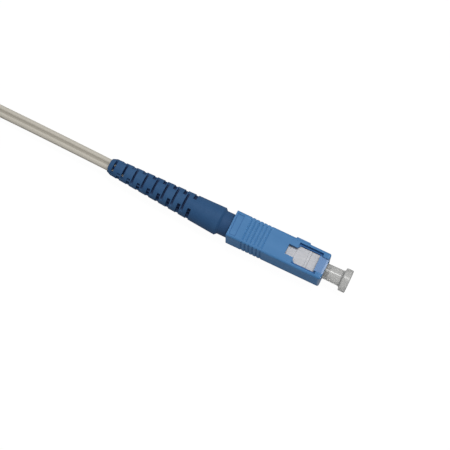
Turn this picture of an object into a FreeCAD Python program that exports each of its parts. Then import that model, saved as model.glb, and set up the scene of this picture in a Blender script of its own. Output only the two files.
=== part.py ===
"""SC fibre-optic plug on a flat drop cable, with its dust cap on.

Lengths are in millimetres. +X runs along the plug towards the fibre's end face, +Z is up,
+Y is the side that carries the key. The origin is the middle of the outer sleeve's lower face,
which the plug lies on. Stations along the plug are measured back from the sleeve's front edge,
so they are negative inside the plug and positive in front of it.
"""
import FreeCAD, Part
import math
import os

from FreeCAD import Placement, Rotation, Vector

os.makedirs("parts", exist_ok=True)

# ---- driving dimensions -------------------------------------------------------------------

# outer sleeve, the standard 9.0 x 7.4 mm section
SLEEVE_LENGTH = 26.6
SLEEVE_WIDTH = 7.4
SLEEVE_HEIGHT = 9.0
AXIS_HEIGHT = SLEEVE_HEIGHT / 2
EDGE_ROUND, FRONT_ROUND = 0.65, 0.5
CAVITY_WIDTH = 4.9
CAVITY_HEIGHT = 6.5
REAR_BORE_R = 3.425
REAR_BORE_FLAT = 3.24
REAR_BORE_DEPTH = 5.9

# the window on each narrow side: a hook channel, an opening and a ramp bar across its mouth
CHANNEL_WIDTH = 5.94
CHANNEL_REAR = -8.55
CHANNEL_FRONT = -1.86
LEDGE_LEVEL = 3.45
WINDOW_WIDTH = 4.9
WINDOW_FRONT = -2.49
WINDOW_CORNER = 0.7
NOTCH_REAR = -10.98
NOTCH_WIDTH = 2.82
RAMP_WIDTH = 4.2
RAMP_HIGH = 4.2
RAMP_LOW = 3.55

# grip grooves round the sleeve's rear half, key and bare label panel
GROOVE_COUNT = 6
GROOVE_FIRST = -22.25
GROOVE_PITCH = 1.075
GROOVE_WIDTH = 0.55
SIDE_GROOVE_DEPTH = 0.3
FACE_GROOVE_DEPTH = 0.18
KEY_REAR, KEY_FRONT = -10.6, -5.73
KEY_WIDTH = 2.4
KEY_RISE = 1.0
KEY_CHAMFER = 0.55
LABEL_REAR, LABEL_FRONT = -26.1, -24.29
LABEL_WIDTH = 5.9
LABEL_DEPTH = 0.14

# plug frame inside the sleeve
FRAME_WIDTH = 4.7
FRAME_HEIGHT = 5.9
FRAME_FRONT, FRAME_REAR = -0.35, -20.3
WELL_R = 2.15
STOP_REAR, STOP_FRONT = -7.3, -6.3
STOP_HOLE_R = 1.45
LATCH_REAR, LATCH_FRONT = -5.53, -4.69
STOP_TRAVEL = 1.2
BUMP_REAR, BUMP_FRONT = -14.6, -13.6
BUMP_WIDTH = 2.4
BUMP_RISE = 0.4
SNAP_REAR, SNAP_FRONT = -18.4, -16.4
SNAP_WIDTH = 2.6

# ferrule, its flange and spring
FERRULE_R = 1.25
FERRULE_FRONT, FERRULE_REAR = 0.9, -9.6
FLANGE_R = 2.0
FLANGE_FRONT, FLANGE_REAR = -7.35, -9.9
TAIL_R = 1.2
TAIL_REAR = -13.2
SPRING_REAR = -14.2
SPRING_R = 1.65
SPRING_WIRE_R = 0.22
WIRE_SIDES = 4
SPRING_TURNS = 5

# stop ring, guide tube, crimp ring
STOP_RING_FRONT = -14.25
STOP_RING_R = 2.1
COLLAR_REAR = -21.7
SPIGOT_R = 1.5
SPIGOT_REAR = -28.5
SPIGOT_RIDGES = 2
SPIGOT_BORE_R = 0.8
TUBE_R, TUBE_BORE_R = 0.45, 0.25
TUBE_REAR = -26.0
FIBRE_R = 0.125
CRIMP_FRONT, CRIMP_REAR = -22.1, -36.5
CRIMP_R, CRIMP_BORE_R = 2.5, 2.15
CRIMP_WALL = 0.45

# boot, flexed a little to the key side behind its neck
NECK_FRONT = -22.2
NECK_R = 3.25
NECK_FLAT = 3.12
BODY_FRONT, BODY_REAR = -29.9, -38.0
BODY_FRONT_R, BODY_REAR_R = 3.85, 3.45
TAPER_REAR = -61.1
TAPER_R = 2.34
BOOT_REAR = -62.3
BOOT_END_R = 1.85
BOOT_BORE_R = 2.6
BOOT_BORE_REAR = -36.8
FLEX_AT = -29.9
FLEX_DEG = 1.75
SLOT_PAIRS = 8
SLOT_PITCH = 2.97
SIDE_SLOT_FIRST = -38.1
SIDE_SLOT_WIDTH = 0.9
SIDE_SLOT_WEB = 1.4
SIDE_RIB_HALF = 0.35
SIDE_RIB_SHARE = 0.83
CORE_HALF_Y, CORE_HALF_Z = 1.95, 1.5
TOP_SLOT_FIRST = -40.0
TOP_SLOT_WIDTH = 0.62
TOP_SLOT_DEPTH = 1.45

# flat cable and its steel strength members
CABLE_WIDTH = 3.1
CABLE_THICK = 2.0
CABLE_CORNER = 0.55
CABLE_GAP = 0.15
CABLE_SAG_LIFT = 0.35
SHEATH_FRONT = -34.5
MEMBER_R = 0.25
MEMBER_OFFSET = 1.0
MEMBER_CRIMPED = 1.86
MEMBER_FRONT = -23.6

# dust cap
CAP_STEM_R = 1.96
CAP_BORE_R = 1.3
CAP_BACK = -5.9
CAP_BORE_END = 1.3
CAP_RIM_BACK, CAP_RIM_FRONT = 4.9, 6.8
CAP_RIM_R = 3.1

# hank of the spare cable, two lanes wide and three layers high, tied twice
HANK_LIFT = 0.4
HANK_LAYERS = 3
HANK_NEAR_X, HANK_FAR_X = -97.0, -149.0
HANK_FOLD_R = 9.5
LANE_PITCH = 2.1
HANK_ENTRY_Y = 2.8
TIE_WALL = 0.4
TIE_WIDTH = 5.0

FRONT_X = SLEEVE_LENGTH / 2


# ---- small modelling helpers, all round the plug's own axis --------------------------------

def box(x0, x1, width, z0, z1):
    """A block between two stations, centred on the axis in Y."""
    return Part.makeBox(x1 - x0, width, z1 - z0, Vector(x0, -width / 2, z0))


def rod(x0, x1, radius):
    """A cylinder on the axis between two stations."""
    return Part.makeCylinder(radius, x1 - x0, Vector(x0, 0, 0), Vector(1, 0, 0))


def flatted_rod(x0, x1, radius, half_width):
    """A cylinder on the axis with a flat on each wide side."""
    return rod(x0, x1, radius).common(box(x0, x1, 2 * half_width, -radius, radius))


def turned(profile):
    """A solid turned about the axis from (station, radius) corners."""
    corners = [Vector(x, 0, r) for x, r in profile]
    face = Part.Face(Part.makePolygon(corners + corners[:1]))
    return face.revolve(Vector(0, 0, 0), Vector(1, 0, 0), 360)


def prism_y(outline, width):
    """An outline of (station, height) corners carried across the plug."""
    corners = [Vector(x, -width / 2, z) for x, z in outline]
    return Part.Face(Part.makePolygon(corners + corners[:1])).extrude(Vector(0, width, 0))


def prism_z(outline, z0, z1):
    """An outline of (station, side) corners carried upwards."""
    corners = [Vector(x, y, z0) for x, y in outline]
    return Part.Face(Part.makePolygon(corners + corners[:1])).extrude(Vector(0, 0, z1 - z0))


def both_faces(shape):
    """The shape and its copy on the opposite narrow side of the plug."""
    return [shape, shape.mirror(Vector(0, 0, 0), Vector(0, 0, 1))]


def both_sides(shape):
    """The shape and its copy on the opposite wide side of the plug."""
    return [shape, shape.mirror(Vector(0, 0, 0), Vector(0, 1, 0))]


def flexed(shape):
    """Swung about the neck's rear end by the boot's small bend."""
    bent = shape.copy()
    bent.rotate(Vector(FLEX_AT, 0, 0), Vector(0, 0, 1), -FLEX_DEG)
    return bent


def flexed_point(station, side):
    """Where a point of the straight boot goes when the boot bends."""
    turn = math.radians(FLEX_DEG)
    back = FLEX_AT - station
    x = FLEX_AT - back * math.cos(turn) + side * math.sin(turn)
    y = back * math.sin(turn) + side * math.cos(turn)
    return Vector(x, y, 0)


def flat_section(centre, along, width, thick):
    """The flat cable's outline across its path, with cut corners for its rounded edges."""
    side = Vector(-along.y, along.x, 0).normalize()
    up = Vector(0, 0, 1)
    half_w, half_t = width / 2, thick / 2
    corners = [
        (-half_w, half_t - CABLE_CORNER),
        (-half_w + CABLE_CORNER, half_t),
        (half_w - CABLE_CORNER, half_t),
        (half_w, half_t - CABLE_CORNER),
    ]
    corners += [(-a, -b) for a, b in corners]
    ring = [centre + side * a + up * b for a, b in corners]
    return Part.makePolygon(ring + ring[:1])


def many_sided(centre, along, radius):
    """A thin wire's outline, four-sided to keep its facets few."""
    ring = Part.makeCircle(radius, centre, along)
    corners = ring.discretize(WIRE_SIDES + 1)
    return Part.makePolygon(corners[:-1] + corners[:1])


def flat_bar(x0, x1, width, thick):
    """A straight length of the flat outline along the axis."""
    wire = flat_section(Vector(x0, 0, 0), Vector(1, 0, 0), width, thick)
    return Part.Face(wire).extrude(Vector(x1 - x0, 0, 0))


def cleaned(shape):
    """One solid with its split faces joined."""
    whole = shape.removeSplitter()
    return whole.Solids[0] if len(whole.Solids) == 1 else whole


# ---- outer sleeve --------------------------------------------------------------------------

def window_cuts():
    """Hook channel, opening with cut corners, rear notch and ramp of the upper narrow side."""
    top = SLEEVE_HEIGHT / 2 + 0.5
    half = WINDOW_WIDTH / 2
    notch = NOTCH_WIDTH / 2
    channel = box(CHANNEL_REAR, WINDOW_FRONT, CHANNEL_WIDTH, LEDGE_LEVEL, top)
    ends = box(WINDOW_FRONT, CHANNEL_FRONT, CHANNEL_WIDTH, LEDGE_LEVEL, top).cut(
        box(WINDOW_FRONT, CHANNEL_FRONT, RAMP_WIDTH, 0, top)
    )
    opening = prism_z(
        [
            (NOTCH_REAR, -notch),
            (CHANNEL_REAR, -notch),
            (CHANNEL_REAR, -half + WINDOW_CORNER),
            (CHANNEL_REAR + WINDOW_CORNER, -half),
            (WINDOW_FRONT, -half),
            (WINDOW_FRONT, half),
            (CHANNEL_REAR + WINDOW_CORNER, half),
            (CHANNEL_REAR, half - WINDOW_CORNER),
            (CHANNEL_REAR, notch),
            (NOTCH_REAR, notch),
        ],
        CAVITY_HEIGHT / 2 - 0.5,
        top,
    )
    ramp = prism_y(
        [(WINDOW_FRONT, RAMP_HIGH), (1, RAMP_LOW), (1, top), (WINDOW_FRONT, top)], RAMP_WIDTH
    )
    return [channel, ends, opening, ramp]


def groove_outline(x, face, depth):
    """A V from its two lips, as far outside the face as it is deep, down to its bottom."""
    return [(x - GROOVE_WIDTH, face + depth), (x, face - depth), (x + GROOVE_WIDTH, face + depth)]


def grip_grooves():
    """Shallow V grooves across all four sides, deeper on the two wide ones."""
    cuts = []
    for i in range(GROOVE_COUNT):
        x = GROOVE_FIRST + i * GROOVE_PITCH
        side = prism_z(
            groove_outline(x, SLEEVE_WIDTH / 2, SIDE_GROOVE_DEPTH), -SLEEVE_HEIGHT, SLEEVE_HEIGHT
        )
        face = prism_y(groove_outline(x, SLEEVE_HEIGHT / 2, FACE_GROOVE_DEPTH), LABEL_WIDTH)
        cuts += both_sides(side) + both_faces(face)
    return cuts


def coupling_sleeve():
    block = box(-SLEEVE_LENGTH, 0, SLEEVE_WIDTH, -SLEEVE_HEIGHT / 2, SLEEVE_HEIGHT / 2)
    long_edges = [e for e in block.Edges if abs(e.tangentAt(e.FirstParameter).x) > 0.9]
    block = block.makeFillet(EDGE_ROUND, long_edges)
    front_edges = [e for e in block.Edges if e.BoundBox.XMin > -FRONT_ROUND]
    block = block.makeFillet(FRONT_ROUND, front_edges)
    key_y = SLEEVE_WIDTH / 2
    key = Part.Face(
        Part.makePolygon(
            [
                Vector(KEY_REAR, key_y - 0.5, -KEY_WIDTH / 2),
                Vector(KEY_REAR, key_y, -KEY_WIDTH / 2),
                Vector(KEY_REAR + KEY_CHAMFER, key_y + KEY_RISE, -KEY_WIDTH / 2),
                Vector(KEY_FRONT - KEY_CHAMFER, key_y + KEY_RISE, -KEY_WIDTH / 2),
                Vector(KEY_FRONT, key_y, -KEY_WIDTH / 2),
                Vector(KEY_FRONT, key_y - 0.5, -KEY_WIDTH / 2),
                Vector(KEY_REAR, key_y - 0.5, -KEY_WIDTH / 2),
            ]
        )
    ).extrude(Vector(0, 0, KEY_WIDTH))
    cavity = box(-SLEEVE_LENGTH - 1, 1, CAVITY_WIDTH, -CAVITY_HEIGHT / 2, CAVITY_HEIGHT / 2)
    rear_bore = flatted_rod(
        -SLEEVE_LENGTH - 1, -SLEEVE_LENGTH + REAR_BORE_DEPTH, REAR_BORE_R, REAR_BORE_FLAT
    )
    label = box(
        LABEL_REAR, LABEL_FRONT, LABEL_WIDTH, SLEEVE_HEIGHT / 2 - LABEL_DEPTH, SLEEVE_HEIGHT / 2 + 1
    )
    pocket_half = CAVITY_WIDTH / 2 + BUMP_RISE - 0.05
    pocket = Part.makeBox(
        BUMP_FRONT - BUMP_REAR + STOP_TRAVEL + 0.2,
        0.8,
        BUMP_WIDTH + 0.3,
        Vector(BUMP_REAR - 0.1, pocket_half - 0.8, -BUMP_WIDTH / 2 - 0.15),
    )
    cuts = [cavity, rear_bore] + both_faces(label) + both_sides(pocket) + grip_grooves()
    for cut in window_cuts():
        cuts += both_faces(cut)
    return cleaned(block.fuse(key).cut(cuts))


# ---- plug frame ----------------------------------------------------------------------------

def plug_frame():
    half = FRAME_HEIGHT / 2
    front_land = box(LATCH_FRONT, FRAME_FRONT, FRAME_WIDTH, half - 0.5, half + 0.1)
    latch = box(LATCH_REAR + 0.1, LATCH_FRONT - 0.1, FRAME_WIDTH, half - 0.5, half + 0.2)
    tongue = box(NOTCH_REAR - 1.8, CHANNEL_REAR - 0.1, 2.5, half - 0.5, half + 0.2)
    bump = Part.makeBox(
        BUMP_FRONT - BUMP_REAR,
        BUMP_RISE,
        BUMP_WIDTH,
        Vector(BUMP_REAR, FRAME_WIDTH / 2, -BUMP_WIDTH / 2),
    )
    body = box(FRAME_REAR, FRAME_FRONT, FRAME_WIDTH, -half, half)
    body = body.fuse(both_faces(front_land) + both_faces(latch) + both_faces(tongue))
    body = body.fuse(both_sides(bump))
    well = rod(STOP_FRONT, FRAME_FRONT + 1, WELL_R)
    chamber = rod(FRAME_REAR - 1, STOP_REAR, WELL_R)
    hole = rod(STOP_REAR - 0.5, STOP_FRONT + 0.5, STOP_HOLE_R)
    snaps = box(SNAP_REAR, SNAP_FRONT, FRAME_WIDTH + 2, -SNAP_WIDTH / 2, SNAP_WIDTH / 2)
    return cleaned(body.cut([well, chamber, hole, snaps]))


# ---- ferrule, flange and spring -------------------------------------------------------------

def ferrule():
    return turned(
        [
            (FERRULE_REAR, 0),
            (FERRULE_REAR, FERRULE_R),
            (FERRULE_FRONT - 0.9, FERRULE_R),
            (FERRULE_FRONT - 0.05, 0.75),
            (FERRULE_FRONT, 0.45),
            (FERRULE_FRONT, 0),
        ]
    )


def ferrule_flange():
    body = turned(
        [
            (FERRULE_REAR, FERRULE_R),
            (FLANGE_FRONT, FERRULE_R),
            (FLANGE_FRONT, FLANGE_R - 0.2),
            (FLANGE_FRONT - 0.2, FLANGE_R),
            (FLANGE_REAR, FLANGE_R),
            (FLANGE_REAR, TAIL_R),
            (TAIL_REAR, TAIL_R),
            (TAIL_REAR, TUBE_R),
            (FERRULE_REAR, TUBE_R),
        ]
    )
    slot = box(FLANGE_FRONT - 1.1, FLANGE_FRONT + 1, 0.7, FLANGE_R - 0.45, FLANGE_R + 1)
    slots = []
    for quarter in range(4):
        turned_slot = slot.copy()
        turned_slot.rotate(Vector(0, 0, 0), Vector(1, 0, 0), 90 * quarter)
        slots.append(turned_slot)
    return cleaned(body.cut(slots))


def ferrule_spring():
    start = FLANGE_REAR - SPRING_WIRE_R - 0.02
    length = start - SPRING_REAR - SPRING_WIRE_R - 0.02
    helix = Part.Wire(Part.makeHelix(length / SPRING_TURNS, length, SPRING_R).Edges)
    section = many_sided(Vector(SPRING_R, 0, 0), Vector(0, 1, 0), SPRING_WIRE_R)
    coil = helix.makePipeShell([section], True, True)
    coil.Placement = Placement(Vector(start, 0, 0), Rotation(Vector(0, 1, 0), -90))
    return coil


# ---- stop ring, tube, fibre, crimp ring and strength members ----------------------------------

def stop_ring():
    collar = box(COLLAR_REAR, FRAME_REAR, FRAME_WIDTH, -FRAME_HEIGHT / 2, FRAME_HEIGHT / 2)
    barbs = box(
        SNAP_REAR + 0.1, SNAP_FRONT - 0.1, FRAME_WIDTH - 0.1, -SNAP_WIDTH / 2 + 0.1, SNAP_WIDTH / 2 - 0.1
    )
    body = rod(FRAME_REAR, STOP_RING_FRONT, STOP_RING_R).fuse([collar, barbs])
    body = body.fuse(rod(SPIGOT_REAR, COLLAR_REAR, SPIGOT_R))
    for i in range(SPIGOT_RIDGES):
        x = COLLAR_REAR - 2.4 - 2.0 * i
        body = body.fuse(rod(x, x + 0.5, SPIGOT_R + 0.08))
    tail_room = rod(FLANGE_REAR - 7.2, STOP_RING_FRONT + 1, TAIL_R + 0.15)
    bore = rod(SPIGOT_REAR - 1, STOP_RING_FRONT, SPIGOT_BORE_R)
    return cleaned(body.cut([tail_room, bore]))


def fibre_guide_tube():
    return rod(TUBE_REAR, FERRULE_REAR, TUBE_R).cut(rod(TUBE_REAR - 1, FERRULE_REAR + 1, TUBE_BORE_R))


def optical_fibre():
    end = flexed_point(SHEATH_FRONT, 0)
    start = Vector(FERRULE_REAR, 0, 0)
    return Part.makeCylinder(FIBRE_R, (end - start).Length, start, end - start)


def crimp_ring():
    """A round ring on the spigot that narrows to a flat tail squeezed on the cable's sheath."""
    body = rod(FLEX_AT, CRIMP_FRONT, CRIMP_R).cut(
        rod(FLEX_AT + CRIMP_WALL, CRIMP_FRONT + 1, CRIMP_BORE_R)
    )
    flat_w, flat_t = CABLE_WIDTH + 2 * CRIMP_WALL, CABLE_THICK + 2 * CRIMP_WALL
    inset = 0.05
    shoulder = FLEX_AT + 0.3
    cone_length = shoulder - SHEATH_FRONT - 0.2
    back = Vector(-1, 0, 0)
    cone = Part.makeCone(
        CRIMP_R - inset, flat_t / 2 - 0.2, cone_length, Vector(shoulder, 0, 0), back
    )
    tail = flat_bar(CRIMP_REAR, FLEX_AT - 1.1, flat_w, flat_t)
    inner_cone = Part.makeCone(
        CRIMP_BORE_R - inset,
        CABLE_THICK / 2 - inset,
        cone_length,
        Vector(shoulder + 0.3, 0, 0),
        back,
    )
    hole = flat_bar(CRIMP_REAR - 1, FLEX_AT - 1.6, CABLE_WIDTH, CABLE_THICK).fuse(inner_cone)
    return cleaned(body.fuse(flexed(cone.fuse(tail))).cut(flexed(hole)))


def strength_members():
    """Two steel wires from the sheath's end, splayed into the gap under the crimp ring."""
    wires = []
    for side in (-1, 1):
        points = [
            flexed_point(SHEATH_FRONT, side * MEMBER_OFFSET),
            flexed_point(SHEATH_FRONT + 1.6, side * MEMBER_OFFSET),
            Vector(SPIGOT_REAR - 0.3, side * MEMBER_CRIMPED, 0),
            Vector(MEMBER_FRONT, side * MEMBER_CRIMPED, 0),
        ]
        path, _ = bent_path(points)
        section = many_sided(points[0], points[1] - points[0], MEMBER_R)
        wires.append(path.makePipeShell([section], True, False))
    return Part.makeCompound(wires)


# ---- boot -----------------------------------------------------------------------------------

def taper_radius(station):
    """The boot's outside radius at a station of its slotted part."""
    share = (BODY_REAR - station) / (BODY_REAR - TAPER_REAR)
    return BODY_REAR_R + (TAPER_R - BODY_REAR_R) * share


def boot_slots():
    """Pairs of slots, from the sides and from above and below in turn, that let the boot bend.
    A thin rib at half height ties the two lips of each side slot together, and the side slots
    leave the core round the cable whole."""
    reach = BODY_FRONT_R + 1
    core = box(BOOT_REAR, BODY_REAR + 1, 2 * CORE_HALF_Y, -CORE_HALF_Z, CORE_HALF_Z)
    cuts = []
    for i in range(SLOT_PAIRS):
        x = SIDE_SLOT_FIRST - i * SLOT_PITCH
        half = SIDE_SLOT_WIDTH / 2
        slot = Part.makeBox(
            2 * half, reach - SIDE_SLOT_WEB, 2 * reach, Vector(x - half, SIDE_SLOT_WEB, -reach)
        )
        rib_width = 2 * SIDE_RIB_SHARE * taper_radius(x)
        rib = box(x - 1, x + 1, rib_width, -SIDE_RIB_HALF, SIDE_RIB_HALF)
        cuts += both_sides(slot.cut([rib, core]))
        x = TOP_SLOT_FIRST - i * SLOT_PITCH
        half = TOP_SLOT_WIDTH / 2
        floor = taper_radius(x) - TOP_SLOT_DEPTH
        cuts += both_faces(box(x - half, x + half, 2 * reach, floor, reach))
    return cuts


def strain_relief_boot():
    """The neck inside the sleeve, and the tapered body that bends away from it."""
    neck = flatted_rod(BODY_FRONT - 0.5, NECK_FRONT, NECK_R, NECK_FLAT)
    shoulder = BODY_FRONT_R - NECK_R
    buried = 0.3
    bend = turned(
        [
            (BODY_FRONT + shoulder + buried, 0),
            (BODY_FRONT + shoulder + buried, NECK_R - buried),
            (BODY_FRONT, BODY_FRONT_R),
            (BODY_REAR, BODY_REAR_R),
            (TAPER_REAR, TAPER_R),
            (BOOT_REAR, BOOT_END_R),
            (BOOT_REAR, 0),
        ]
    ).cut(boot_slots())
    passage_z = CABLE_THICK / 2 + CABLE_GAP
    passage = box(
        BOOT_REAR - 1, BOOT_BORE_REAR + 1, CABLE_WIDTH + 2 * CABLE_GAP, -passage_z, passage_z
    )
    rear_bore = rod(BOOT_BORE_REAR, BODY_FRONT + 0.5, BOOT_BORE_R)
    front_bore = rod(BODY_FRONT, NECK_FRONT + 1, BOOT_BORE_R + 0.1)
    body = neck.fuse(flexed(bend))
    return cleaned(body.cut([flexed(passage.fuse(rear_bore)), front_bore]))


# ---- dust cap -------------------------------------------------------------------------------

def dust_cap():
    return turned(
        [
            (CAP_BORE_END, 0),
            (CAP_BORE_END, CAP_BORE_R),
            (CAP_BACK, CAP_BORE_R),
            (CAP_BACK, CAP_STEM_R - 0.15),
            (CAP_BACK + 0.3, CAP_STEM_R),
            (CAP_RIM_BACK, CAP_STEM_R),
            (CAP_RIM_BACK, CAP_RIM_R - 0.15),
            (CAP_RIM_BACK + 0.15, CAP_RIM_R),
            (CAP_RIM_FRONT - 0.25, CAP_RIM_R),
            (CAP_RIM_FRONT, CAP_RIM_R - 0.25),
            (CAP_RIM_FRONT, 0),
        ]
    )


# ---- flat cable -----------------------------------------------------------------------------

def bent_path(points):
    """Straight runs joined by tangent arcs, with the radii of the arcs."""
    edges, radii = [], []
    start = points[0]
    for before, corner, after in zip(points, points[1:], points[2:]):
        to_here = (corner - before).normalize()
        onward = (after - corner).normalize()
        turn = to_here.getAngle(onward)
        cut_back = 0.45 * min((corner - before).Length, (after - corner).Length)
        radii.append(cut_back / math.tan(turn / 2))
        arc_in = corner - to_here * cut_back
        arc_out = corner + onward * cut_back
        inward = (onward - to_here).normalize()
        depth = radii[-1] / math.cos(turn / 2) - radii[-1]
        edges.append(Part.LineSegment(start, arc_in).toShape())
        edges.append(Part.Arc(arc_in, corner + inward * depth, arc_out).toShape())
        start = arc_out
    edges.append(Part.LineSegment(start, points[-1]).toShape())
    return Part.Wire(edges), radii


def cable_points():
    """The cable's line, from inside the crimp ring down to the hank that lies on the bench."""
    lane_z = HANK_LIFT + CABLE_WIDTH / 2 - AXIS_HEIGHT
    return [
        flexed_point(SHEATH_FRONT, 0),
        flexed_point(-71.0, 0),
        Vector(-105.5, 2.45, CABLE_THICK / 2 + CABLE_SAG_LIFT - AXIS_HEIGHT),
        Vector(HANK_NEAR_X - FRONT_X - 12.0, HANK_ENTRY_Y, lane_z),
    ]


def cable_sheath():
    points = cable_points()
    path, radii = bent_path(points)
    print("cable arc radii", [round(r, 1) for r in radii])
    along = points[1] - points[0]
    section = flat_section(points[0], along, CABLE_WIDTH, CABLE_THICK)
    sweep = Part.BRepOffsetAPI.MakePipeShell(path)
    sweep.setBiNormalMode(Vector(0, 0, 1))
    sweep.add(section)
    sweep.build()
    sweep.makeSolid()
    cable = sweep.shape()
    ideal = Part.Face(section).Area * path.Length
    print("cable volume", round(cable.Volume, 2), "section times length", round(ideal, 2))
    return cable


def hank_centre():
    """The middle of the hank: the cable comes in on its outer lane, on the key side."""
    return (HANK_NEAR_X + HANK_FAR_X) / 2, HANK_ENTRY_Y - HANK_FOLD_R - LANE_PITCH


def oval(radius, z0, z1):
    """An upright slab with two straight sides and round ends, on the hank's middle."""
    centre_x, centre_y = hank_centre()
    half = (HANK_NEAR_X - HANK_FAR_X) / 2
    slab = Part.makeBox(2 * half, 2 * radius, z1 - z0, Vector(centre_x - half, centre_y - radius, z0))
    ends = [
        Part.makeCylinder(radius, z1 - z0, Vector(x, centre_y, z0), Vector(0, 0, 1))
        for x in (HANK_NEAR_X, HANK_FAR_X)
    ]
    return slab.fuse(ends).removeSplitter()


def cable_hank():
    """The spare length as one solid: an oval ring as wide and high as its turns."""
    margin = 0.1
    z0 = HANK_LIFT
    z1 = z0 + HANK_LAYERS * CABLE_WIDTH + margin
    outer = oval(HANK_FOLD_R + LANE_PITCH + CABLE_THICK / 2 + margin, z0, z1)
    inner = oval(HANK_FOLD_R - CABLE_THICK / 2 - margin, z0 - 1, z1 + 1)
    return cleaned(outer.cut(inner))


def hank_ties():
    """Two plain straps, one round each straight side of the hank."""
    centre_x, centre_y = hank_centre()
    lane_mid = HANK_FOLD_R + LANE_PITCH / 2
    depth = LANE_PITCH + CABLE_THICK + 0.2
    height = HANK_LAYERS * CABLE_WIDTH + 0.1
    straps = []
    for side in (-1, 1):
        y = centre_y + side * lane_mid
        outside = Part.makeBox(
            TIE_WIDTH,
            depth + 2 * TIE_WALL,
            height + 2 * TIE_WALL,
            Vector(centre_x - TIE_WIDTH / 2, y - depth / 2 - TIE_WALL, 0),
        )
        long_edges = [e for e in outside.Edges if abs(e.tangentAt(e.FirstParameter).x) > 0.9]
        outside = outside.makeFillet(TIE_WALL, long_edges)
        inside = Part.makeBox(
            TIE_WIDTH + 2, depth, height, Vector(centre_x - TIE_WIDTH / 2 - 1, y - depth / 2, HANK_LIFT)
        )
        straps.append(outside.cut(inside))
    return Part.makeCompound(straps)


# ---- export: plug pieces are moved from the axis and front edge to the origin ------------------

PLUG_PIECES = {
    "coupling_sleeve": coupling_sleeve,
    "plug_frame": plug_frame,
    "ferrule": ferrule,
    "ferrule_flange": ferrule_flange,
    "ferrule_spring": ferrule_spring,
    "stop_ring": stop_ring,
    "fibre_guide_tube": fibre_guide_tube,
    "optical_fibre": optical_fibre,
    "crimp_ring": crimp_ring,
    "strength_members": strength_members,
    "strain_relief_boot": strain_relief_boot,
    "dust_cap": dust_cap,
    "cable_sheath": cable_sheath,
}
BENCH_PIECES = {"cable_hank": cable_hank, "hank_ties": hank_ties}

for name, make in PLUG_PIECES.items():
    piece = make()
    piece.translate(Vector(FRONT_X, 0, AXIS_HEIGHT))
    piece.exportStep(f"parts/{name}.step")

for name, make in BENCH_PIECES.items():
    make().exportStep(f"parts/{name}.step")
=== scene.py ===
import math

import bmesh
import bpy
import numpy as np
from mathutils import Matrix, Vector


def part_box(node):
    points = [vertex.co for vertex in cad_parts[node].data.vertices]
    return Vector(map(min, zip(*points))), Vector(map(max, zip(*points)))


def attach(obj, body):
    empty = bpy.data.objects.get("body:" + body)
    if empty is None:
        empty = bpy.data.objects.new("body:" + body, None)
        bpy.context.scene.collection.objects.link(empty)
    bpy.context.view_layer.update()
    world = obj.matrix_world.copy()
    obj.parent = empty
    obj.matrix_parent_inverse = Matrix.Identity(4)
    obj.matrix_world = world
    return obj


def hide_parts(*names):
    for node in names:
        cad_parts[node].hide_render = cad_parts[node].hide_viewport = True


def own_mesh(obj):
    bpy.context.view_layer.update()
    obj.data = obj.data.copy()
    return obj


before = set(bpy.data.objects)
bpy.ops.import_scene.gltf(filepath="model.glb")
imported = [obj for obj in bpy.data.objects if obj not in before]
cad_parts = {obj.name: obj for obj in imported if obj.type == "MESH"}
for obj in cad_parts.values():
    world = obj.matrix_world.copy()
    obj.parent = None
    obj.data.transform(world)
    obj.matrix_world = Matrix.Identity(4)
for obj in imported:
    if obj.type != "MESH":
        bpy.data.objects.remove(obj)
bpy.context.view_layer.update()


# ---- flat drop cable -----------------------------------------------------------------------
# A fibre between two steel wires in one flat jacket of low-smoke compound, extruded with a
# groove down the middle of both wide faces so that it can be torn open. It starts inside the
# crimp ring, runs off along the bench, turns on edge and ends in a hank of spare length.

CABLE_WIDTH = 0.0031
CABLE_THICK = 0.0020
JACKET_SQUARENESS = 0.6
GROOVE_DEPTH = 0.00060
GROOVE_SPREAD = 0.00032
TWIST_FROM, TWIST_TO = 0.0625, 0.0795

# painted shade in the grooves: its share, and where it fades out as a part of the half width
GROOVE_SHADE_SHARE, GROOVE_SHADE_FROM, GROOVE_SHADE_TO = 0.55, 0.08, 0.34

# the lead, from inside the crimp ring to the hank's outer lane
LEAD = [
    (-0.02120, 0.00014, 0.00450),
    (-0.05768, 0.00126, 0.00450),
    (-0.09220, 0.00245, 0.00135),
    (-0.10900, 0.00280, 0.00195),
]

# the hank, two lanes wide and three layers high, wound on edge
NEAR_X, FAR_X = -0.097, -0.149
OUTER, INNER = 0.0116, 0.0095
MIDDLE_Y = LEAD[-1][1] - OUTER
LOW, MID, TOP = (LEAD[-1][2] + CABLE_WIDTH * layer for layer in range(3))
FOLD_STEPS = 6
TUCK_X, TUCK_Y = 0.002, 0.0004

# each turn: its lane on the key side, on the other side and after that, then its height at the
# start, after the key side's run and after the other side's run
TURNS = [
    (OUTER, OUTER, INNER, LOW, LOW, LOW),
    (INNER, INNER, INNER, LOW, LOW, MID),
    (INNER, OUTER, OUTER, MID, MID, MID),
    (OUTER, OUTER, INNER, MID, TOP, TOP),
    (INNER, INNER, INNER, TOP, TOP, TOP),
]


def eased(t):
    """From 0 to 1 with level ends: three t squared less two t cubed."""
    return t * t * (3 - 2 * t)


def run(side, lane, z_from, z_to):
    """Three points down one straight side, climbing from layer to layer where the heights differ."""
    start, end = (NEAR_X, FAR_X) if side > 0 else (FAR_X, NEAR_X)
    return [
        (start + (end - start) * t, MIDDLE_Y + side * lane, z_from + (z_to - z_from) * eased(t))
        for t in (1 / 6, 1 / 2, 5 / 6)
    ]


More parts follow.
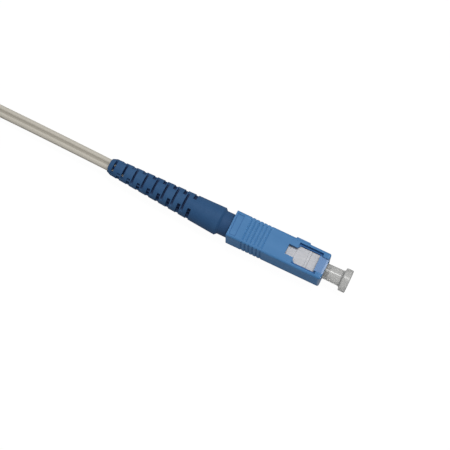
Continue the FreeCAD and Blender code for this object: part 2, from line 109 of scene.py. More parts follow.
def fold(side, lane_from, lane_to, z):
    """Half a turn round one end. Each point stands off by one over the cosine of half a step, so
    that the spline, which touches the middle of each stretch, keeps to the lane's own radius."""
    centre = FAR_X if side > 0 else NEAR_X
    step = math.pi / FOLD_STEPS
    points = []
    for i in range(FOLD_STEPS):
        share = (i + 0.5) / FOLD_STEPS
        radius = (lane_from + (lane_to - lane_from) * eased(share)) / math.cos(step / 2)
        angle = math.pi * share
        x = centre - side * radius * math.sin(angle)
        points.append((x, MIDDLE_Y + side * radius * math.cos(angle), z))
    return points


def hank_route():
    """The control points of every turn, and a bare end tucked in on the last."""
    points = []
    for first, second, third, z_start, z_far, z_near in TURNS:
        points += run(1, first, z_start, z_far) + fold(1, first, second, z_far)
        points += run(-1, second, z_far, z_near) + fold(-1, second, third, z_near)
    points = points[1:-FOLD_STEPS]
    return points + [(NEAR_X + TUCK_X, MIDDLE_Y - INNER + TUCK_Y, TOP)]


def spline_points(control, name):
    """A smooth quadratic spline pulled along by its control points, read back as a fine line."""
    curve = bpy.data.curves.new(name, "CURVE")
    curve.dimensions = "3D"
    curve.resolution_u = 12
    spline = curve.splines.new("NURBS")
    spline.points.add(len(control) - 1)
    for point, place in zip(spline.points, control):
        point.co = (*place, 1)
    spline.order_u = 3
    spline.use_endpoint_u = True
    holder = bpy.data.objects.new(name, curve)
    bpy.context.scene.collection.objects.link(holder)
    line = bpy.data.meshes.new_from_object(holder)
    points = np.array([v.co for v in line.vertices])
    bpy.data.objects.remove(holder)
    bpy.data.meshes.remove(line)
    return points


def even_line(points, spacing):
    """The same line with its points an even distance apart, and that distance run up."""
    steps = np.linalg.norm(np.diff(points, axis=0), axis=1)
    run_up = np.concatenate([[0], np.cumsum(steps)])
    at = np.linspace(0, run_up[-1], int(run_up[-1] / spacing) + 1)
    return np.stack([np.interp(at, run_up, column) for column in points.T], axis=1), at


def unit(vectors):
    """Vectors of length one."""
    return vectors / np.linalg.norm(vectors, axis=-1, keepdims=True)


def skin(name, *grids, closed=True):
    """A closed skin over each grid of points: rows are rings, which are capped at both ends
    unless they already shrink to a point. Points that fall together are merged and faces turned
    out."""
    mesh = bpy.data.meshes.new(name)
    points, faces = np.zeros((0, 3)), []
    for grid in grids:
        rows, cols = grid.shape[:2]
        index = len(points) + np.arange(rows * cols).reshape(rows, cols)
        side = np.roll(index, -1, axis=1)
        quads = np.stack([index[:-1], side[:-1], side[1:], index[1:]], axis=-1)
        faces += quads.reshape(-1, 4).tolist()
        if closed:
            faces += [index[0].tolist(), index[-1][::-1].tolist()]
        points = np.concatenate([points, grid.reshape(-1, 3)])
    mesh.from_pydata(points, [], faces)
    work = bmesh.new()
    work.from_mesh(mesh)
    bmesh.ops.remove_doubles(work, verts=work.verts, dist=1e-7)
    bmesh.ops.dissolve_degenerate(work, edges=work.edges, dist=1e-8)
    bmesh.ops.recalc_face_normals(work, faces=work.faces)
    work.to_mesh(mesh)
    work.free()
    mesh.shade_smooth()
    made = bpy.data.objects.new(name, mesh)
    bpy.context.scene.collection.objects.link(made)
    return made


def cable_section(count):
    """Across is the sine of an even angle. Up is a flattened cosine, less a bell-shaped groove."""
    angle = np.linspace(0, 2 * np.pi, count, endpoint=False)
    across = np.sin(angle) * CABLE_WIDTH / 2
    up = np.sign(np.cos(angle)) * np.abs(np.cos(angle)) ** JACKET_SQUARENESS
    groove = GROOVE_DEPTH * np.exp(-((across / GROOVE_SPREAD) ** 2)) * np.sign(np.cos(angle))
    return across, up * CABLE_THICK / 2 - groove


def cable_grid(line, at, count):
    """The section carried along the line. Its width lies level, then turns on edge for the hank."""
    along = unit(np.gradient(line, axis=0))
    level = unit(np.cross([0, 0, 1], along))
    upward = np.cross(along, level)
    turn = (np.pi / 2) * eased(np.clip((at - TWIST_FROM) / (TWIST_TO - TWIST_FROM), 0, 1))
    turn = turn[:, None]
    wide = level * np.cos(turn) + upward * np.sin(turn)
    thick = np.cross(along, wide)
    across, up = cable_section(count)
    return (
        line[:, None, :]
        + wide[:, None, :] * across[None, :, None]
        + thick[:, None, :] * up[None, :, None]
    )


def linear(code):
    """A screen colour written as RRGGBB, as the linear colour that shaders use."""
    values = [int(code[i : i + 2], 16) / 255 for i in (0, 2, 4)]
    return tuple(
        v / 12.92 if v <= 0.04045 else ((v + 0.055) / 1.055) ** 2.4 for v in values
    ) + (1.0,)


def add(tree, kind, inputs=None, stops=(), **settings):
    """Adds a node, sets its settings and a colour ramp's stops, and fills its inputs with values
    or links."""
    made = tree.nodes.new(kind)
    for name, value in settings.items():
        setattr(made, name, value)
    for i, (position, code) in enumerate(stops):
        made.color_ramp.elements[i].position = position
        made.color_ramp.elements[i].color = linear(code)
    for name, value in (inputs or {}).items():
        if isinstance(value, bpy.types.NodeSocket):
            tree.links.new(value, made.inputs[name])
        else:
            made.inputs[name].default_value = value
    return made


def new_material(name):
    """A material with nothing but its shader and output."""
    made = bpy.data.materials.new(name)
    made.use_nodes = True
    return made, made.node_tree, made.node_tree.nodes["Principled BSDF"]


def jacket_material():
    """Cream-grey halogen-free compound off an extruder: half matt, with faint streaks that run
    along the cable, slow cloudy changes of tone and painted shade darkening the grooves."""
    made, tree, shader = new_material("extruded_cable_jacket")
    place = add(tree, "ShaderNodeAttribute", attribute_name="jacket").outputs["Vector"]
    # streaks 25 mm long and 0.2 mm wide, a little coarser than real ones so that they show
    streak_space = add(tree, "ShaderNodeMapping", {"Vector": place, "Scale": (0.04, 9, 9)}).outputs[0]
    streaks = add(
        tree, "ShaderNodeTexNoise", {"Vector": streak_space, "Scale": 1.0, "Detail": 3.0}
    ).outputs[0]
    # clouds 6 mm long and 2 mm wide
    cloud_space = add(
        tree, "ShaderNodeMapping", {"Vector": place, "Scale": (0.16, 0.8, 0.8)}
    ).outputs[0]
    clouds = add(
        tree, "ShaderNodeTexNoise", {"Vector": cloud_space, "Scale": 1.0, "Detail": 2.0}
    ).outputs[0]
    mixed = add(tree, "ShaderNodeMath", {0: streaks, 1: clouds}, operation="ADD")
    tones = ((0.35, "A49F93"), (0.65, "B6B1A6"))
    tone = add(tree, "ShaderNodeValToRGB", {"Fac": mixed.outputs[0]}, stops=tones)
    across = add(tree, "ShaderNodeSeparateXYZ", {0: place})
    off_groove = add(tree, "ShaderNodeMath", {0: across.outputs["Y"]}, operation="ABSOLUTE")
    # painted shade: the grooves are painted darker, towards 7C766A
    groove_shade = add(
        tree,
        "ShaderNodeMapRange",
        {
            "Value": off_groove.outputs[0],
            "From Min": GROOVE_SHADE_FROM,
            "From Max": GROOVE_SHADE_TO,
            "To Min": GROOVE_SHADE_SHARE,
            "To Max": 0.0,
        },
        interpolation_type="SMOOTHSTEP",
    )
    groove_shaded = add(
        tree,
        "ShaderNodeMix",
        {"Factor": groove_shade.outputs["Result"], 6: tone.outputs["Color"], 7: linear("7C766A")},
        data_type="RGBA",
    )
    relief = add(tree, "ShaderNodeBump", {"Height": streaks, "Strength": 0.25, "Distance": 0.00005})
    tree.links.new(groove_shaded.outputs[2], shader.inputs["Base Color"])
    tree.links.new(relief.outputs["Normal"], shader.inputs["Normal"])
    shader.inputs["Roughness"].default_value = 0.5
    shader.inputs["IOR"].default_value = 1.5
    return made


def wire_material():
    """Phosphated steel wire: dull dark grey with brighter specks where the coat is thin."""
    made, tree, shader = new_material("phosphated_steel_wire")
    place = add(tree, "ShaderNodeTexCoord").outputs["Object"]
    # specks of 0.17 mm, coarser than the coat's own crystals so that they show
    specks = add(
        tree, "ShaderNodeTexNoise", {"Vector": place, "Scale": 6000.0, "Detail": 3.0}
    ).outputs[0]
    tone = add(tree, "ShaderNodeValToRGB", {"Fac": specks}, stops=((0.35, "6A6A6C"), (0.75, "A3A3A4")))
    tree.links.new(tone.outputs["Color"], shader.inputs["Base Color"])
    shader.inputs["Metallic"].default_value = 1.0
    shader.inputs["Roughness"].default_value = 0.45
    return made


def fibre_material():
    """Silica fibre in its clear acrylate coat: glassy, with slow changes in the coat's tint."""
    made, tree, shader = new_material("acrylate_coated_silica")
    place = add(tree, "ShaderNodeTexCoord").outputs["Object"]
    # changes of tint 2.5 mm long
    coat = add(tree, "ShaderNodeTexNoise", {"Vector": place, "Scale": 400.0, "Detail": 1.0}).outputs[0]
    tone = add(tree, "ShaderNodeValToRGB", {"Fac": coat}, stops=((0.0, "DCE6EC"), (1.0, "EEF3F5")))
    tree.links.new(tone.outputs["Color"], shader.inputs["Base Color"])
    shader.inputs["Roughness"].default_value = 0.12
    shader.inputs["IOR"].default_value = 1.46
    shader.inputs["Transmission Weight"].default_value = 0.5
    return made


def rod_grid(start, end, radius):
    """A thin round rod from point to point, its far rim eased by a fifth of the radius: rings
    square to the line at four stations."""
    along = unit(end - start)
    side = unit(np.cross(along, [0, 0, 1]))
    upright = np.cross(side, along)
    angle = np.linspace(0, 2 * np.pi, 16, endpoint=False)[None, :, None]
    ring = side * np.cos(angle) + upright * np.sin(angle)
    back_from_end = radius * np.array([0.2, 0.06, 0])
    stations = np.concatenate([[0], np.linalg.norm(end - start) - back_from_end])[:, None, None]
    radii = radius * np.array([1, 1, 0.95, 0.8])[:, None, None]
    return start + along * stations + ring * radii


RING_POINTS = 32
RING_SPACING = 0.0010
WIRE_R, WIRE_OFFSET = 0.00025, 0.00100
FIBRE_R = 0.000125
CUT_PROUD = 0.00012

cable_line, cable_at = even_line(spline_points(LEAD + hank_route(), "cable_route"), RING_SPACING)
cable = skin("flat_cable", cable_grid(cable_line, cable_at, RING_POINTS))
around = np.linspace(0, 2 * np.pi, RING_POINTS, endpoint=False)
jacket = np.stack(
    [
        np.repeat(cable_at * 1000, RING_POINTS),
        np.tile(np.sin(around), len(cable_at)),
        np.tile(np.cos(around), len(cable_at)),
    ],
    axis=1,
)
cable.data.attributes.new("jacket", "FLOAT_VECTOR", "POINT").data.foreach_set(
    "vector", jacket.astype(np.float32).ravel()
)
cable.data.materials.append(jacket_material())
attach(cable, "plug")
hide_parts("cable_sheath", "cable_hank")

# at the bare end the two wires and the fibre stand a hair proud of the cut jacket
cut = cable_line[-1]
cut_reach = unit(cable_line[-1] - cable_line[-2]) * CUT_PROUD
wire_finish = wire_material()
fibre_finish = fibre_material()
for name, rise, radius, finish, slot in (
    ("wire_end_low", -WIRE_OFFSET, WIRE_R, wire_finish, "member_steel"),
    ("wire_end_high", WIRE_OFFSET, WIRE_R, wire_finish, "member_steel"),
    ("fibre_end", 0, FIBRE_R, fibre_finish, "fibre_glass"),
):
    middle = cut + np.array([0, 0, rise])
    rod = skin(name, rod_grid(middle - cut_reach, middle + cut_reach, radius))
    rod.data.materials.append(finish)
    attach(rod, "plug")


# ---- ties ----------------------------------------------------------------------------------
# Two soft nylon straps hold the hank's runs together. Each goes once round the run's six
# cables, laps over itself on the outside and is welded there.

STRAP_WIDTH, STRAP_THICK = 0.0050, 0.0004
STRAP_SLACK, STRAP_CORNER, STRAP_LAP = 0.0001, 0.0007, 0.0016
STRAP_SPACING = 0.0003
LANE_MID = (OUTER + INNER) / 2
STRAP_HALF_Y = (OUTER - INNER + CABLE_THICK) / 2 + STRAP_SLACK + STRAP_THICK / 2
STRAP_LOW = STRAP_THICK / 2
STRAP_HIGH = TOP + CABLE_WIDTH / 2 + STRAP_SLACK + STRAP_THICK / 2


def rounded_corners(corners, radius, steps=6):
    """A line through the corners with each inner corner rounded: cut back by the radius on both
    sides and joined by a quadratic curve, (1-t)(1-t) a + 2t(1-t) corner + t t b."""
    corners = np.array(corners, dtype=float)
    before = unit(corners[:-2] - corners[1:-1]) * radius + corners[1:-1]
    after = unit(corners[2:] - corners[1:-1]) * radius + corners[1:-1]
    t = np.linspace(0, 1, steps)[None, :, None]
    arcs = (
        (1 - t) ** 2 * before[:, None]
        + 2 * t * (1 - t) * corners[1:-1, None]
        + t**2 * after[:, None]
    )
    return np.concatenate([corners[:1], arcs.reshape(-1, corners.shape[1]), corners[-1:]])


def strap_grid(side):
    """A flat lens-edged section carried round the run: the path is a box of the run's size with
    rounded corners, and its end rides up over its start by one thickness."""
    y0, y1 = -STRAP_HALF_Y, STRAP_HALF_Y
    seam = (STRAP_LOW + STRAP_HIGH) / 2
    outline = [
        (y1, seam - STRAP_LAP),
        (y1, STRAP_HIGH),
        (y0, STRAP_HIGH),
        (y0, STRAP_LOW),
        (y1, STRAP_LOW),
        (y1, seam - 2 * STRAP_LAP),
        (y1 + STRAP_THICK, seam - STRAP_LAP),
        (y1 + STRAP_THICK, seam + STRAP_LAP),
    ]
    path, _ = even_line(rounded_corners(outline, STRAP_CORNER), STRAP_SPACING)
    along = unit(np.gradient(path, axis=0))
    outward = np.stack([along[:, 1], -along[:, 0]], axis=1)
    angle = np.linspace(0, 2 * np.pi, 16, endpoint=False)
    across = np.sign(np.sin(angle)) * np.abs(np.sin(angle)) ** 0.5 * STRAP_WIDTH / 2
    rise = np.sign(np.cos(angle)) * np.abs(np.cos(angle)) ** 0.5 * STRAP_THICK / 2
    grid = np.empty((len(path), len(angle), 3))
    grid[..., 0] = (NEAR_X + FAR_X) / 2 + across
    grid[..., 1] = MIDDLE_Y + side * (LANE_MID + path[:, :1] - outward[:, :1] * rise)
    grid[..., 2] = path[:, 1:] - outward[:, 1:] * rise
    return grid


def strap_material():
    """Natural white nylon strap, drawn: smooth, a little waxy, with fine lines along it."""
    made, tree, shader = new_material("drawn_nylon_strap")
    place = add(tree, "ShaderNodeTexCoord").outputs["Object"]
    # lines 0.2 mm apart and 3 mm long, coarser than the real ones so that they show
    line_space = add(tree, "ShaderNodeMapping", {"Vector": place, "Scale": (5000, 300, 300)}).outputs[0]
    lines = add(
        tree, "ShaderNodeTexNoise", {"Vector": line_space, "Scale": 1.0, "Detail": 2.0}
    ).outputs[0]
    tone = add(tree, "ShaderNodeValToRGB", {"Fac": lines}, stops=((0.3, "D3D2CC"), (0.7, "E2E1DC")))
    relief = add(tree, "ShaderNodeBump", {"Height": lines, "Strength": 0.15, "Distance": 0.00002})
    tree.links.new(tone.outputs["Color"], shader.inputs["Base Color"])
    tree.links.new(relief.outputs["Normal"], shader.inputs["Normal"])
    shader.inputs["Roughness"].default_value = 0.42
    shader.inputs["IOR"].default_value = 1.53
    return made


strap_finish = strap_material()
for side, name in ((1, "tie_key_side"), (-1, "tie_far_side")):
    strap = skin(name, strap_grid(side))
    strap.data.materials.append(strap_finish)
    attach(strap, "plug")
    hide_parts("hank_ties")


# ---- strain relief boot ------------------------------------------------------------------------
# One soft moulding pushed over the crimp ring: a neck that goes into the sleeve, a plain body and
# a tapered tail, slotted in turn from the sides and from above and below so that it bends evenly.

AXIS_Z = 0.0045
FRONT_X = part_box("coupling_sleeve")[1][0]
BOOT_EDGE = 0.00012

# the slotted tail, measured along its own axis from the place where the boot bends
FLEX = math.radians(1.75)
FLEX_AT = np.array([FRONT_X - 0.0299, 0, AXIS_Z])
TAPER_FRONT, TAPER_REAR = -0.0081, -0.0312
TAPER_FRONT_R, TAPER_REAR_R = 0.00345, 0.00234
SLOT_COUNT, SLOT_PITCH = 8, 0.00297
SIDE_SLOT_FIRST, TOP_SLOT_FIRST = -0.0082, -0.0101
RIB_R, RIB_HALF, RIB_REACH = 0.0004, 0.0005, 0.96
WEB_HALF, WEB_LOW, WEB_HIGH = 0.0004, 0.00117, 0.0013

# painted shade in the slots: how far under the tail's outline it starts and stops darkening the walls,
# and by what share
SHADE_FROM, SHADE_TO, SHADE_SHARE = 0.0001, 0.0006, 0.85

# webs over the cable in the last two upper and lower slots, from and to, with gaps between them
SLOT_WEBS = {
    SLOT_COUNT - 2: [(-0.0019, -0.0015), (-0.0008, 0.0019)],
    SLOT_COUNT - 1: [(-0.0019, -0.0015), (-0.0008, -0.0001), (0.0007, 0.0019)],
}


def softened_copy(name, node, radius, sharp_over=28):
    """The node's own shape with its loose triangles joined and every sharp edge rounded to the
    radius that the mould leaves."""
    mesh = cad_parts[node].data.copy()
    mesh.name = name
    work = bmesh.new()
    work.from_mesh(mesh)
    bmesh.ops.remove_doubles(work, verts=work.verts, dist=2e-6)
    work.to_mesh(mesh)
    work.free()
    mesh.materials.clear()
    mesh.shade_smooth()
    made = bpy.data.objects.new(name, mesh)
    bpy.context.scene.collection.objects.link(made)
    edge = made.modifiers.new("mould_radius", "BEVEL")
    edge.width = radius
    edge.segments = 3
    edge.limit_method = "ANGLE"
    edge.angle_limit = math.radians(sharp_over)
    edge.miter_outer = "MITER_ARC"
    edge.harden_normals = False
    shading = made.modifiers.new("even_shading", "WEIGHTED_NORMAL")
    shading.keep_sharp = False
    shading.weight = 80
    return made


def bent(points):
    """Points measured along the tail's own axis, as they lie in the frame."""
    x, y, z = np.moveaxis(np.array(points), -1, 0)
    turned_x = math.cos(FLEX) * x + math.sin(FLEX) * y
    turned_y = math.cos(FLEX) * y - math.sin(FLEX) * x
    return np.stack([turned_x, turned_y, z], axis=-1) + FLEX_AT


def slot_rib(i, side):
    """The round rib that ties a side slot's lips together at the boot's outline."""
    x = SIDE_SLOT_FIRST - i * SLOT_PITCH
    outside = np.interp(x, (TAPER_REAR, TAPER_FRONT), (TAPER_REAR_R, TAPER_FRONT_R))
    y = side * (RIB_REACH * outside - RIB_R)
    rear, front = bent([(x - RIB_HALF, y, 0), (x + RIB_HALF, y, 0)])
    return rod_grid(rear, front, RIB_R)


def slot_web(i, upward, y_from, y_to):
    """A thin bar of the moulding across the floor of an upper or lower slot."""
    x = TOP_SLOT_FIRST - i * SLOT_PITCH
    rear, front, low, high = x - WEB_HALF, x + WEB_HALF, upward * WEB_LOW, upward * WEB_HIGH
    corners = [(rear, low), (front, low), (front, high), (rear, high)]
    return bent([[(along, y, up) for along, up in corners] for y in (y_from, y_to)])


def boot_material():
    """Navy thermoplastic elastomer from a spark-eroded mould: matt with a soft sheen, a fine
    grain and slow cloudy changes where the melt cooled at different rates. The slots' walls are
    painted darker the deeper they go: painted shade for the little light that gets in."""
    made, tree, shader = new_material("moulded_navy_elastomer")
    place = add(tree, "ShaderNodeTexCoord").outputs["Object"]
    # clouds of 6 mm
    clouds = add(
        tree, "ShaderNodeTexNoise", {"Vector": place, "Scale": 180.0, "Detail": 3.0}
    ).outputs[0]
    # a grain of 0.2 mm, coarser than the mould's 0.03 mm so that it shows
    grain = add(
        tree, "ShaderNodeTexNoise", {"Vector": place, "Scale": 5000.0, "Detail": 2.0}
    ).outputs[0]
    tone = add(tree, "ShaderNodeValToRGB", {"Fac": clouds}, stops=((0.3, "224870"), (0.7, "2C5178")))
    relief = add(tree, "ShaderNodeBump", {"Height": grain, "Strength": 0.35, "Distance": 0.00003})
    sheen = add(tree, "ShaderNodeMapRange", {"Value": grain, "To Min": 0.6, "To Max": 0.72})
    tail_space = add(
        tree,
        "ShaderNodeMapping",
        {"Vector": place, "Location": FLEX_AT, "Rotation": (0, 0, -FLEX)},
        vector_type="TEXTURE",
    )
    spot = add(tree, "ShaderNodeSeparateXYZ", {0: tail_space.outputs[0]})
    across = add(tree, "ShaderNodeCombineXYZ", {"Y": spot.outputs["Y"], "Z": spot.outputs["Z"]})
    away = add(tree, "ShaderNodeVectorMath", {0: across.outputs[0]}, operation="LENGTH")
    outside = add(
        tree,
        "ShaderNodeMapRange",
        {
            "Value": spot.outputs["X"],
            "From Min": TAPER_REAR,
            "From Max": TAPER_FRONT,
            "To Min": TAPER_REAR_R,
            "To Max": TAPER_FRONT_R,
        },
    )
    depth = add(
        tree,
        "ShaderNodeMath",
        {0: outside.outputs["Result"], 1: away.outputs["Value"]},
        operation="SUBTRACT",
    )
    # painted shade: the deeper under the tail's outline, the darker, towards 0B1F47
    shade = add(
        tree,
        "ShaderNodeMapRange",
        {
            "Value": depth.outputs[0],
            "From Min": SHADE_FROM,
            "From Max": SHADE_TO,
            "To Max": SHADE_SHARE,
        },
    )
    in_tail = add(
        tree, "ShaderNodeMath", {0: spot.outputs["X"], 1: TAPER_REAR}, operation="GREATER_THAN"
    )
    share = add(
        tree,
        "ShaderNodeMath",
        {0: shade.outputs["Result"], 1: in_tail.outputs[0]},
        operation="MULTIPLY",
    )
    shaded = add(
        tree,
        "ShaderNodeMix",
        {"Factor": share.outputs[0], 6: tone.outputs["Color"], 7: linear("0B1F47")},
        data_type="RGBA",
    )
    tree.links.new(shaded.outputs[2], shader.inputs["Base Color"])
    tree.links.new(relief.outputs["Normal"], shader.inputs["Normal"])
    tree.links.new(sheen.outputs["Result"], shader.inputs["Roughness"])
    shader.inputs["IOR"].default_value = 1.48
    shader.inputs["Specular IOR Level"].default_value = 0.25
    return made


boot_finish = boot_material()
boot = softened_copy("boot", "strain_relief_boot", BOOT_EDGE)
boot.data.materials.append(boot_finish)
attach(boot, "plug")
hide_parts("strain_relief_boot")

ribs = [slot_rib(i, side) for i in range(SLOT_COUNT) for side in (-1, 1)]
webs = [
    slot_web(i, upward, *span) for i, spans in SLOT_WEBS.items() for span in spans for upward in (-1, 1)
]
slot_ties = skin("boot_ribs_and_webs", *ribs, *webs)
slot_ties.data.materials.append(boot_finish)
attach(slot_ties, "plug")


# ---- crimp ring and strength members -----------------------------------------------------------
# A soft aluminium ring, drawn round and then squeezed, grips the two steel wires of the cable
# against the spigot and ends in a flat tail on the jacket. All of it is under the boot.

def crimp_material():
    """Drawn aluminium: bright grey with fine rings round it from the draw."""
    made, tree, shader = new_material("drawn_aluminium")
    place = add(tree, "ShaderNodeTexCoord").outputs["Object"]
    # rings 0.1 mm apart, coarser than the real ones so that they show
    ring_space = add(tree, "ShaderNodeMapping", {"Vector": place, "Scale": (9000, 400, 400)}).outputs[0]
    rings = add(
        tree, "ShaderNodeTexNoise", {"Vector": ring_space, "Scale": 1.0, "Detail": 2.0}
    ).outputs[0]
    relief = add(tree, "ShaderNodeBump", {"Height": rings, "Strength": 0.3, "Distance": 0.00002})
    gloss = add(tree, "ShaderNodeMapRange", {"Value": rings, "To Min": 0.28, "To Max": 0.45})
    tree.links.new(relief.outputs["Normal"], shader.inputs["Normal"])
    tree.links.new(gloss.outputs["Result"], shader.inputs["Roughness"])
    shader.inputs["Base Color"].default_value = linear("D2D3D4")
    shader.inputs["Metallic"].default_value = 1.0
    return made


def finish_node(node, material):
    """The CAD piece as it is, with its own finish in place of the plain one."""
    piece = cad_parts[node]
    piece.data.materials.clear()
    piece.data.materials.append(material)


finish_node("crimp_ring", crimp_material())
finish_node("strength_members", wire_finish)


# ---- stop ring, guide tube and fibre -------------------------------------------------------------
# The nickel-plated brass stop ring snaps into the frame's two side windows, holds the spring and
# carries the crimp on its spigot. The coated fibre runs through it in a thin plastic tube.

def nickel_material():
    """Turned brass under nickel plate: warm bright metal with the lathe's rings showing."""
    made, tree, shader = new_material("nickel_plated_brass")
    place = add(tree, "ShaderNodeTexCoord").outputs["Object"]
    # rings 0.14 mm apart, coarser than the real 0.03 mm so that they show
    ring_space = add(tree, "ShaderNodeMapping", {"Vector": place, "Scale": (7000, 200, 200)}).outputs[0]
    rings = add(
        tree, "ShaderNodeTexNoise", {"Vector": ring_space, "Scale": 1.0, "Detail": 1.0}
    ).outputs[0]
    relief = add(tree, "ShaderNodeBump", {"Height": rings, "Strength": 0.25, "Distance": 0.00002})
    gloss = add(tree, "ShaderNodeMapRange", {"Value": rings, "To Min": 0.18, "To Max": 0.34})
    tree.links.new(relief.outputs["Normal"], shader.inputs["Normal"])
    tree.links.new(gloss.outputs["Result"], shader.inputs["Roughness"])
    shader.inputs["Base Color"].default_value = linear("CFC8BB")
    shader.inputs["Metallic"].default_value = 1.0
    return made


def tube_material():
    """Extruded fluoropolymer tube: milky white and waxy, with faint draw lines."""
    made, tree, shader = new_material("extruded_fluoropolymer")
    place = add(tree, "ShaderNodeTexCoord").outputs["Object"]
    # lines 0.1 mm apart and 5 mm long, coarser than the real ones so that they show
    line_space = add(
        tree, "ShaderNodeMapping", {"Vector": place, "Scale": (200, 9000, 9000)}
    ).outputs[0]
    lines = add(
        tree, "ShaderNodeTexNoise", {"Vector": line_space, "Scale": 1.0, "Detail": 2.0}
    ).outputs[0]
    tone = add(tree, "ShaderNodeValToRGB", {"Fac": lines}, stops=((0.0, "DADAD4"), (1.0, "EAEAE6")))
    tree.links.new(tone.outputs["Color"], shader.inputs["Base Color"])
    shader.inputs["Roughness"].default_value = 0.35
    shader.inputs["IOR"].default_value = 1.36
    return made


finish_node("stop_ring", nickel_material())
finish_node("fibre_guide_tube", tube_material())

# the fibre has slack to take up in its tube as the ferrule is pushed back, and rides with the plug
fibre_rear = np.array(LEAD[0])
fibre_front = np.array([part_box("optical_fibre")[1][0], 0, LEAD[0][2]])
fibre = skin("coated_fibre", rod_grid(fibre_rear, fibre_front, FIBRE_R))
fibre.data.materials.append(fibre_finish)
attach(fibre, "plug")
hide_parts("optical_fibre")
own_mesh(fibre)


# ---- ferrule, flange and spring ------------------------------------------------------------------
# A white zirconia rod, ground to size with its tip domed and polished round the fibre, is pressed
# into a turned steel flange. The spring behind the flange pushes it forward.

FERRULE_R = 0.00125
FERRULE_REAR, FERRULE_FRONT = -0.0096, 0.0009
TIP_CONE_X, TIP_CONE_R, TIP_FLAT_R, TIP_DOME = 0.0, 0.00075, 0.00045, 0.00005
FERRULE_EDGE = 0.00012
SPRING_LOW, SPRING_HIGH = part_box("ferrule_spring")
SPRING_R, SPRING_WIRE_R, SPRING_TURNS = 0.00165, 0.00022, 5


def turned(name, profile, count=64):
    """A profile of (station, radius) points swept once round the plug's axis. Where the radius is
    nil the ring shrinks to one point, which closes the end."""
    profile = np.array(profile)
    angle = np.linspace(0, 2 * np.pi, count, endpoint=False)
    grid = np.empty((len(profile), count, 3))
    grid[..., 0] = FRONT_X + profile[:, :1]
    grid[..., 1] = profile[:, 1:] * np.cos(angle)
    grid[..., 2] = AXIS_Z + profile[:, 1:] * np.sin(angle)
    return skin(name, grid, closed=False)


def spring_grid(rings, sides=12):
    """A round wire carried along a helix. Each ring goes out along the helix's own radius and
    along the direction square to that radius and to the wire."""
    share = np.linspace(0, 1, rings)[:, None]
    turn = 2 * np.pi * SPRING_TURNS * share
    front = np.array([SPRING_HIGH[0] - SPRING_WIRE_R, 0, AXIS_Z])
    reach = np.array([SPRING_HIGH[0] - SPRING_LOW[0] - 2 * SPRING_WIRE_R, 0, 0])
    radial = np.concatenate([0 * turn, np.cos(turn), np.sin(turn)], axis=1)
    line = front - reach * share + SPRING_R * radial
    across = unit(np.cross(unit(np.gradient(line, axis=0)), radial))
    angle = np.linspace(0, 2 * np.pi, sides, endpoint=False)[None, :, None]
    ring = radial[:, None] * np.cos(angle) + across[:, None] * np.sin(angle)
    return line[:, None] + SPRING_WIRE_R * ring


def zirconia_material():
    """Ground and polished zirconia: dense warm white, very glossy, with hair-fine grinding rings."""
    made, tree, shader = new_material("polished_zirconia")
    place = add(tree, "ShaderNodeTexCoord").outputs["Object"]
    # rings 0.1 mm apart, far coarser than a grinding wheel's so that they show
    ring_space = add(tree, "ShaderNodeMapping", {"Vector": place, "Scale": (9000, 150, 150)}).outputs[0]
    rings = add(
        tree, "ShaderNodeTexNoise", {"Vector": ring_space, "Scale": 1.0, "Detail": 2.0}
    ).outputs[0]
    tone = add(tree, "ShaderNodeValToRGB", {"Fac": rings}, stops=((0.0, "E6E5DF"), (1.0, "EFEEEA")))
    gloss = add(tree, "ShaderNodeMapRange", {"Value": rings, "To Min": 0.08, "To Max": 0.2})
    tree.links.new(tone.outputs["Color"], shader.inputs["Base Color"])
    tree.links.new(gloss.outputs["Result"], shader.inputs["Roughness"])
    shader.inputs["IOR"].default_value = 2.1
    shader.inputs["Subsurface Weight"].default_value = 0.1
    shader.inputs["Subsurface Scale"].default_value = 0.0005
    return made


def flange_material():
    """Turned stainless steel: cool grey metal with the tool's rings round it."""
    made, tree, shader = new_material("turned_stainless_steel")
    place = add(tree, "ShaderNodeTexCoord").outputs["Object"]
    # rings 0.13 mm apart, coarser than the real 0.03 mm so that they show
    ring_space = add(tree, "ShaderNodeMapping", {"Vector": place, "Scale": (8000, 200, 200)}).outputs[0]
    rings = add(
        tree, "ShaderNodeTexNoise", {"Vector": ring_space, "Scale": 1.0, "Detail": 2.0}
    ).outputs[0]
    relief = add(tree, "ShaderNodeBump", {"Height": rings, "Strength": 0.3, "Distance": 0.00002})
    tree.links.new(relief.outputs["Normal"], shader.inputs["Normal"])
    shader.inputs["Base Color"].default_value = linear("BDBDBF")
    shader.inputs["Metallic"].default_value = 1.0
    shader.inputs["Roughness"].default_value = 0.3
    return made


def spring_material():
    """Drawn stainless spring wire: bright, with a faint stain, bluish or straw, from its heating."""
    made, tree, shader = new_material("drawn_spring_wire")
    place = add(tree, "ShaderNodeTexCoord").outputs["Object"]
    # stains of 0.7 mm
    stain = add(
        tree, "ShaderNodeTexNoise", {"Vector": place, "Scale": 1500.0, "Detail": 3.0}
    ).outputs[0]
    tone = add(tree, "ShaderNodeValToRGB", {"Fac": stain}, stops=((0.0, "97979B"), (1.0, "C4C2BD")))
    tree.links.new(tone.outputs["Color"], shader.inputs["Base Color"])
    shader.inputs["Metallic"].default_value = 1.0
    shader.inputs["Roughness"].default_value = 0.28
    return made


ferrule = turned(
    "ferrule_rod",
    rounded_corners(
        [
            (FERRULE_REAR, 0),
            (FERRULE_REAR, FERRULE_R),
            (TIP_CONE_X, FERRULE_R),
            (FERRULE_FRONT - TIP_DOME, TIP_CONE_R),
            (FERRULE_FRONT, TIP_FLAT_R),
            (FERRULE_FRONT, 0),
        ],
        FERRULE_EDGE,
    ),
)
ferrule.data.materials.append(zirconia_material())
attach(ferrule, "ferrule")
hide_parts("ferrule")
finish_node("ferrule_flange", flange_material())

# the spring's rear end stays on the stop ring while the flange pushes it together
spring = skin("coil_spring", spring_grid(40 * SPRING_TURNS))
spring.data.materials.append(spring_material())
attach(spring, "plug")
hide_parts("ferrule_spring")
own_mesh(spring)


